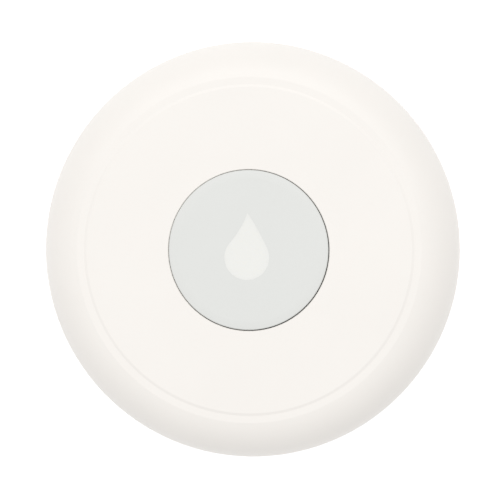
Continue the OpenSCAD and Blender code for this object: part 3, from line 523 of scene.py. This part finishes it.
def skin(bm, rings, wrap=False):
    """Joins rings of points with faces, one after the other, and the last with the first to wrap."""
    rows = [[bm.verts.new(p) for p in ring] for ring in rings]
    count = len(rows[0])
    following = rows[1:] + rows[:1] if wrap else rows[1:]
    for a, b in zip(rows, following):
        for k in range(count):
            n = (k + 1) % count
            bm.faces.new((a[k], a[n], b[n], b[k]))
    return rows


def capped(bm, rings):
    """Closed form through rings of points, with a face at each end."""
    rows = skin(bm, rings)
    bm.faces.new(rows[0])
    bm.faces.new(rows[-1])


def sweep(bm, line, radius):
    """Round wire with flat ends along a line of points."""
    side = (line[1] - line[0]).orthogonal().normalized()
    angles = [math.tau * k / SIDES for k in range(SIDES)]
    rings = []
    for i, point in enumerate(line):
        along = (line[min(i + 1, len(line) - 1)] - line[max(i - 1, 0)]).normalized()
        side = (side - along * side.dot(along)).normalized()
        other = along.cross(side)
        rings.append([point + radius * (math.cos(a) * side + math.sin(a) * other) for a in angles])
    capped(bm, rings)


def helix(radius, tip_radius, height, turns, end_pitch=None):
    """Points of a spring that climbs +Z from height 0; an end pitch closes its first and last turn."""
    end = end_pitch or height / turns
    pitch = (height - 2 * end) / (turns - 2) if end_pitch else end
    line = []
    for i in range(turns * STEPS + 1):
        t = i / STEPS
        z = min(t, 1) * end + max(0, min(t - 1, turns - 2)) * pitch + max(0, t - turns + 1) * end
        r = radius + (tip_radius - radius) * t / turns
        line.append(Vector((r * math.cos(math.tau * t), r * math.sin(math.tau * t), z)))
    return line


def lathe(bm, profile, turn=Matrix()):
    """Closed form of revolution from (radius, height) points that run round its section."""
    angles = [math.tau * k / ROUND for k in range(ROUND)]
    rings = [
        [turn @ Vector((r * math.cos(a), r * math.sin(a), z)) for a in angles] for r, z in profile
    ]
    on_axis = profile[0][0] < EPS
    rows = skin(bm, rings, wrap=not on_axis)
    if on_axis:
        for row, (_, z) in ((rows[0], profile[0]), (rows[-1], profile[-1])):
            bmesh.ops.pointmerge(bm, verts=row, merge_co=turn @ Vector((0, 0, z)))


def rounded(points, size, steps=5):
    """The section with its corners rounded, apart from the first and last point."""
    soft = [points[0]]
    for before, corner, after in zip(points, points[1:], points[2:]):
        a, c, b = (Vector(p) for p in (before, corner, after))
        reach = min(size, (a - c).length / 2.1, (b - c).length / 2.1)
        start = c + (a - c).normalized() * reach
        end = c + (b - c).normalized() * reach
        for i in range(steps + 1):
            t = i / steps
            soft.append(tuple((1 - t) ** 2 * start + 2 * t * (1 - t) * c + t ** 2 * end))
    return soft + [points[-1]]


# Springs


def probe_springs():
    """Wound springs with closed end turns, from the probes up to the board."""
    bm = bmesh.new()
    for low, high in solids("probe_springs"):
        radius = (high.x - low.x - PROBE_WIRE) / 2
        height = high.z - low.z - PROBE_WIRE
        foot = Vector((*middle((low, high)).xy, low.z + PROBE_WIRE / 2))
        line = helix(radius, radius, height, PROBE_TURNS, end_pitch=PROBE_WIRE * 1.1)
        sweep(bm, [foot + p for p in line], PROBE_WIRE / 2)
    steel = MATERIALS["spring_steel"]
    add_piece("probe_spring_wires", bm, steel, "base", "spring_steel", "probe_springs")


def cell_spring():
    """Cone spring behind the cell's flat end."""
    bm = bmesh.new()
    low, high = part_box("negative_spring")
    foot = Vector((low.x + CELL_WIRE / 2, 0, middle(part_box("battery_can")).z))
    turn = Matrix.Rotation(math.pi / 2, 4, "Y")
    height = high.x - low.x - CELL_WIRE
    line = helix(CELL_SPRING_R, CELL_SPRING_TIP_R, height, CELL_SPRING_TURNS)
    sweep(bm, [foot + turn @ p for p in line], CELL_WIRE / 2)
    steel = MATERIALS["spring_steel"]
    add_piece("cell_spring_wire", bm, steel, "base", "spring_steel", "negative_spring")


# Screws


def threaded_shank(bm, seat, radius, length, pitch, depth):
    """Shank that starts inside the head, with a thread that fades into its point."""
    rows = round(length / pitch * THREAD_ROWS)
    heights = [-SHANK_SINK] + [length * j / rows for j in range(rows + 1)]
    rings = []
    for z in heights:
        taper = max(0.0, z - length + SCREW_TIP_L) / SCREW_TIP_L
        crest = radius + (SCREW_TIP_R - radius) * taper
        ring = []
        for k in range(THREAD_SIDES):
            turn = (max(z, 0) / pitch - k / THREAD_SIDES) % 1
            r = crest - depth * abs(2 * turn - 1) * (1 - taper)
            a = math.tau * k / THREAD_SIDES
            ring.append(seat + Vector((r * math.cos(a), r * math.sin(a), z)))
        rings.append(ring)
    capped(bm, rings)


def screws(name, node, body, radius, head_h, pitch, depth):
    """The CAD heads with their cross recess, on threaded shanks."""
    bm = bmesh.new()
    bm.from_mesh(frame["nodes"][node].data)
    bmesh.ops.remove_doubles(bm, verts=bm.verts, dist=MERGE)
    low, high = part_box(node)
    seat_z = low.z + head_h
    shanks = [face for face in bm.faces if face.calc_center_median().z > seat_z + EPS]
    bmesh.ops.delete(bm, geom=shanks, context="FACES")
    bmesh.ops.holes_fill(bm, edges=[edge for edge in bm.edges if edge.is_boundary])
    for box in solids(node):
        seat = Vector((*middle(box).xy, seat_z))
        threaded_shank(bm, seat, radius, high.z - seat_z, pitch, depth)
    add_piece(name, bm, MATERIALS["screw_steel"], body, "screw_steel", node)


# Silicone membrane: the pad goes down with the button, the web and bead stay in the cover


def membrane():
    """Pad with its nub, and the web with the bead that the ring holds, a fine slit apart."""
    low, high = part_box("button_membrane")
    pad_z = low.z + NUB_H
    pad_top = pad_z + PAD_H
    web_top = pad_z + WEB_T
    web_in = PAD_R + MEMBRANE_SLIT
    bead_in = high.x - BEAD_T
    pad = bmesh.new()
    section = [
        (0, low.z), (NUB_R, low.z), (NUB_R, pad_z),
        (PAD_R, pad_z), (PAD_R, pad_top), (0, pad_top),
    ]
    lathe(pad, rounded(section, size=0.2 * MM))
    add_piece("membrane_pad", pad, MATERIALS["silicone"], "button", "silicone", "button_membrane")
    web = bmesh.new()
    section = [
        (web_in, pad_z), (high.x, pad_z), (high.x, high.z),
        (bead_in, high.z), (bead_in, web_top), (web_in, web_top),
    ]
    lathe(web, rounded(section, size=0.15 * MM))
    add_piece("membrane_web", web, MATERIALS["silicone"], "housing", "silicone", "button_membrane")


# Cell


def cell_wrap():
    """Shrink sleeve drawn in over the can's edges, and a fibre washer round the positive nub."""
    low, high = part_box("battery_can")
    radius = (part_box("battery_sleeve")[1].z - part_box("battery_sleeve")[0].z) / 2
    length = high.x - low.x - CELL_NUB_L
    axis = Matrix.Translation((low.x, 0, middle((low, high)).z)) @ Matrix.Rotation(math.pi / 2, 4, "Y")
    lip_r = radius - SLEEVE_LIP
    turn_r = radius - SLEEVE_EDGE
    bore_r = radius - SLEEVE_T
    outer = [
        (lip_r, -SLEEVE_LIP_T), (turn_r, -SLEEVE_LIP_T), (radius, SLEEVE_EDGE),
        (radius, length - SLEEVE_EDGE), (turn_r, length + SLEEVE_LIP_T), (lip_r, length + SLEEVE_LIP_T),
    ]
    inner = [
        (lip_r, length), (turn_r - SLEEVE_T, length), (bore_r, length - SLEEVE_EDGE),
        (bore_r, SLEEVE_EDGE), (turn_r - SLEEVE_T, 0), (lip_r, 0),
    ]
    sleeve = bmesh.new()
    lathe(sleeve, rounded(outer, size=0.3 * MM) + rounded(inner, size=0.3 * MM), axis)
    add_piece("cell_wrap", sleeve, MATERIALS["cell_sleeve"], "base", "cell_sleeve", "battery_sleeve")
    washer = bmesh.new()
    hole = CELL_NUB_R + WASHER_PLAY
    rim = lip_r - WASHER_INSET
    top = length + WASHER_T
    lathe(washer, [(hole, length), (rim, length), (rim, top), (hole, top)], axis)
    add_piece("cell_washer", washer, fibre, "base", "black_plastic")


# Board


def solder_bell(bm, place, width, length, height):
    """Drop of solder that runs out flat on the board; a negative height hangs down."""
    # Shares of the foot's width and of the height
    slope = ((1.0, 0.0), (0.8, 0.12), (0.62, 0.36), (0.45, 0.7), (0.22, 0.95))
    angles = [math.tau * k / SIDES for k in range(SIDES)]
    foot = [Vector((width / 2 * math.cos(a), length / 2 * math.sin(a), 0)) for a in angles]
    top = Vector((0, 0, height))
    capped(bm, [[place + share * p + rise * top for p in foot] for share, rise in slope])


def spaced(count, pitch):
    """Offsets of a row of places about its middle."""
    return [(i - (count - 1) / 2) * pitch for i in range(count)]


def solder():
    """Joints under the legs and ends of the parts, on both faces of the board."""
    bm = bmesh.new()

    def under(places, width, length, height):
        """Joints on the under face."""
        for x, y in places:
            solder_bell(bm, Vector((x, y, BOARD_UNDER)), width, length, -height)

    def above(places, width, length, height):
        """Joints on the top face."""
        for x, y in places:
            solder_bell(bm, Vector((x, y, BOARD_TOP)), width, length, height)

    def ends_x(box, offsets=(0,)):
        """Places at the two ends of a part along X."""
        return [(corner.x, middle(box).y + offset) for offset in offsets for corner in box]

    def ends_y(box, offsets=(0,)):
        """Places at the two ends of a part along Y."""
        return [(middle(box).x + offset, corner.y) for offset in offsets for corner in box]

    legs = ends_x(processor, spaced(CHIP_LEG_N, CHIP_LEG_PITCH))
    under(legs, width=0.5 * MM, length=0.42 * MM, height=0.16 * MM)
    under(ends_x(coil), width=0.9 * MM, length=1.8 * MM, height=0.45 * MM)
    under(ends_x(capacitor), width=0.9 * MM, length=0.8 * MM, height=0.3 * MM)
    for chip in small_parts:
        under(ends_y(chip), width=0.9 * MM, length=0.6 * MM, height=0.3 * MM)
    legs = ends_x(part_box("switch_body"), spaced(2, SWITCH_LEG_PITCH))
    above(legs, width=0.7 * MM, length=0.9 * MM, height=0.2 * MM)
    above(ends_x(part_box("status_led")), width=0.6 * MM, length=1.2 * MM, height=0.3 * MM)
    shift = middle(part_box("radio_shield")).x - middle(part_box("radio_board")).x
    half_holes = [shift + offset for offset in spaced(CASTLE_N, CASTLE_PITCH)]
    above(ends_y(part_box("radio_board"), half_holes), width=0.7 * MM, length=0.9 * MM, height=0.4 * MM)
    centre = middle(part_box("buzzer"))
    pins = [(centre.x + offset, centre.y) for offset in spaced(2, BUZZER_PITCH)]
    above(pins, width=1.6 * MM, length=1.6 * MM, height=0.7 * MM)
    add_piece("solder_joints", bm, TINNED, "housing", "tinned_steel", smooth=60)


def coil_winding():
    """Enamelled copper wire in the groove of the coil."""
    groove_h = coil[1].z - coil[0].z - 2 * COIL_FLANGE_T
    turns = int(groove_h / COIL_WIRE)
    radius = (coil[1].x - coil[0].x) / 2 - COIL_WIRE * 0.8
    foot = Vector((*middle(coil).xy, coil[0].z + COIL_FLANGE_T + COIL_WIRE / 2))
    bm = bmesh.new()
    sweep(bm, [foot + p for p in helix(radius, radius, groove_h - COIL_WIRE, turns)], COIL_WIRE / 2)
    add_piece("coil_winding", bm, copper_wire, "housing", "gold_pad")


def printed_line(bm, low, high, width, z, height):
    """Thin raised line with sloped sides round a rectangle."""
    slope = abs(height) * DRAFT
    rings = []
    for out, level in (
        (width / 2, z), (width / 2 - slope, z + height), (slope - width / 2, z + height), (-width / 2, z),
    ):
        x0, y0 = low - Vector((out, out))
        x1, y1 = high + Vector((out, out))
        rings.append([Vector((x, y, level)) for x, y in ((x0, y0), (x1, y0), (x1, y1), (x0, y1))])
    skin(bm, rings, wrap=True)


def silk_outlines():
    """Printed outlines round the parts on the board's under face."""
    bm = bmesh.new()
    margin = Vector((SILK_GAP, SILK_GAP))
    for low, high in (processor, capacitor, coil):
        printed_line(bm, low.xy - margin, high.xy + margin, SILK_W, BOARD_UNDER, -SILK_T)
    add_piece("silk_outlines", bm, white_ink, "housing", "white_plastic")
    ring = bmesh.new()
    low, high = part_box("buzzer")
    inner = (high.x - low.x) / 2 + SILK_GAP
    outer = inner + SILK_W
    place = Matrix.Translation((*middle((low, high)).xy, BOARD_UNDER))
    lathe(ring, [(inner, 0), (outer, 0), (outer, -SILK_T), (inner, -SILK_T)], place)
    add_piece("silk_ring", ring, white_ink, "housing", "white_plastic")


# Base


def polarity_marks():
    """Raised plus and minus on the floor beside the cell's ends."""
    def plus(reach, half_w):
        """Outline of a cross."""
        arm = [Vector((reach, -half_w)), Vector((reach, half_w)), Vector((half_w, half_w))]
        return [Matrix.Rotation(math.pi / 2 * k, 2) @ p for k in range(4) for p in arm]

    def minus(reach, half_w):
        """Outline of a bar."""
        corners = ((reach, -half_w), (reach, half_w), (-reach, half_w), (-reach, -half_w))
        return [Vector(p) for p in corners]

    bm = bmesh.new()
    floor_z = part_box("vent_disc")[0].z
    for shape, x in ((plus, MARK_X), (minus, -MARK_X)):
        rings = []
        for inset, level in ((0, floor_z), (MARK_H * DRAFT, floor_z + MARK_H)):
            points = shape(MARK_L / 2 - inset, MARK_W / 2 - inset)
            rings.append([Vector((x + p.x, MARK_Y + p.y, level)) for p in points])
        capped(bm, rings)
    add_piece("polarity_marks", bm, MATERIALS["white_plastic"], "base", "white_plastic")


probe_springs()
cell_spring()
screws(
    "case_screws", "housing_screws", "base", CASE_SCREW_R, CASE_HEAD_H,
    pitch=0.8 * MM, depth=0.25 * MM,
)
screws(
    "board_screws", "pcb_screws", "housing", BOARD_SCREW_R, BOARD_HEAD_H,
    pitch=0.65 * MM, depth=0.2 * MM,
)
membrane()
cell_wrap()
solder()
coil_winding()
silk_outlines()
polarity_marks()


# Studio


def seen(tree):
    """1 for what the camera, a reflection or a look through glass sees, 0 for the light on the object."""
    path = tree.nodes.new("ShaderNodeLightPath").outputs
    mirrored = combine(tree, "MAXIMUM", path["Is Glossy Ray"], path["Is Transmission Ray"])
    return combine(tree, "MAXIMUM", path["Is Camera Ray"], mirrored)


def stage_floor():
    """Pale floor that shows white, takes the shadow and lets a view from below through."""
    mesh = bpy.data.meshes.new("stage_floor")
    half = FLOOR_SIZE / 2
    corners = [(-half, -half, 0), (half, -half, 0), (half, half, 0), (-half, half, 0)]
    mesh.from_pydata(corners, [], [(0, 1, 2, 3)])
    floor = bpy.data.objects.new("stage_floor", mesh)
    bpy.context.scene.collection.objects.link(floor)
    mat, tree, bsdf = shader("stage_floor")
    bsdf.inputs["Base Color"].default_value = (FLOOR_GREY, FLOOR_GREY, FLOOR_GREY, 1)
    bsdf.inputs["Roughness"].default_value = 0.9
    bsdf.inputs["Specular IOR Level"].default_value = 0.0
    glow = tree.nodes.new("ShaderNodeEmission")
    lit = tree.nodes.new("ShaderNodeAddShader")
    shown = tree.nodes.new("ShaderNodeMixShader")
    clear = tree.nodes.new("ShaderNodeBsdfTransparent")
    side = tree.nodes.new("ShaderNodeNewGeometry")
    both = tree.nodes.new("ShaderNodeMixShader")
    glow.inputs["Strength"].default_value = FLOOR_GLOW
    links = tree.links
    links.new(bsdf.outputs["BSDF"], lit.inputs[0])
    links.new(glow.outputs["Emission"], lit.inputs[1])
    links.new(seen(tree), shown.inputs["Fac"])
    links.new(bsdf.outputs["BSDF"], shown.inputs[1])
    links.new(lit.outputs["Shader"], shown.inputs[2])
    links.new(side.outputs["Backfacing"], both.inputs["Fac"])
    links.new(shown.outputs["Shader"], both.inputs[1])
    links.new(clear.outputs["BSDF"], both.inputs[2])
    links.new(both.outputs["Shader"], tree.nodes["Material Output"].inputs["Surface"])
    mat.cycles.emission_sampling = "NONE"
    mesh.materials.append(mat)


def studio_light():
    """Even fill from the world, which shows white, and a wide lamp beyond the drop's tip."""
    world = bpy.data.worlds.new("studio")
    bpy.context.scene.world = world
    world.use_nodes = True
    tree = world.node_tree
    fill = tree.nodes["Background"]
    fill.inputs["Strength"].default_value = WORLD_LEVEL
    fill.inputs["Color"].default_value = (1, 1, 1, 1)
    white = tree.nodes.new("ShaderNodeBackground")
    white.inputs["Color"].default_value = (1, 1, 1, 1)
    white.inputs["Strength"].default_value = 1.0
    mix = tree.nodes.new("ShaderNodeMixShader")
    tree.links.new(seen(tree), mix.inputs["Fac"])
    tree.links.new(fill.outputs["Background"], mix.inputs[1])
    tree.links.new(white.outputs["Background"], mix.inputs[2])
    tree.links.new(mix.outputs["Shader"], tree.nodes["World Output"].inputs["Surface"])
    lamp = bpy.data.lights.new("lamp", "AREA")
    lamp.shape = "DISK"
    lamp.size = LAMP_SIZE
    lamp.energy = LAMP_WATTS
    obj = bpy.data.objects.new("lamp", lamp)
    bpy.context.scene.collection.objects.link(obj)
    aim = Vector((
        math.sin(LAMP_ZENITH) * math.cos(LAMP_AZIMUTH),
        math.sin(LAMP_ZENITH) * math.sin(LAMP_AZIMUTH),
        math.cos(LAMP_ZENITH),
    ))
    obj.location = aim * LAMP_DISTANCE
    obj.rotation_mode = "QUATERNION"
    obj.rotation_quaternion = aim.to_track_quat("Z", "Y")


def photo_camera():
    """Camera above the puck, leaning as the photograph shows, with the outline where it is there."""
    widest = max((v.co for v in frame["nodes"]["top_cover"].data.vertices), key=lambda p: p.xy.length)
    target = Vector((0, 0, widest.z))
    back = Vector((math.tan(LEAN_X), math.tan(LEAN_Y), 1)).normalized()
    up = Vector((0, 1, 0))
    right = up.cross(back).normalized()
    up = back.cross(right)
    cam = bpy.data.cameras.new("photo_camera")
    cam.sensor_width = SENSOR_MM
    cam.lens = SENSOR_MM * CAMERA_DISTANCE / widest.xy.length * OUTLINE_R_PX / PHOTO_PX
    cam.shift_x = (PHOTO_PX / 2 - OUTLINE_X_PX) / PHOTO_PX
    cam.shift_y = (OUTLINE_Y_PX - PHOTO_PX / 2) / PHOTO_PX
    cam.clip_start = 0.01
    cam.clip_end = 100
    obj = bpy.data.objects.new("photo_camera", cam)
    bpy.context.scene.collection.objects.link(obj)
    turn = Matrix((right, up, back)).transposed().to_4x4()
    obj.matrix_world = Matrix.Translation(target + back * CAMERA_DISTANCE) @ turn
    bpy.context.scene.camera = obj


stage_floor()
studio_light()
photo_camera()
bpy.context.scene.view_settings.view_transform = "Standard"
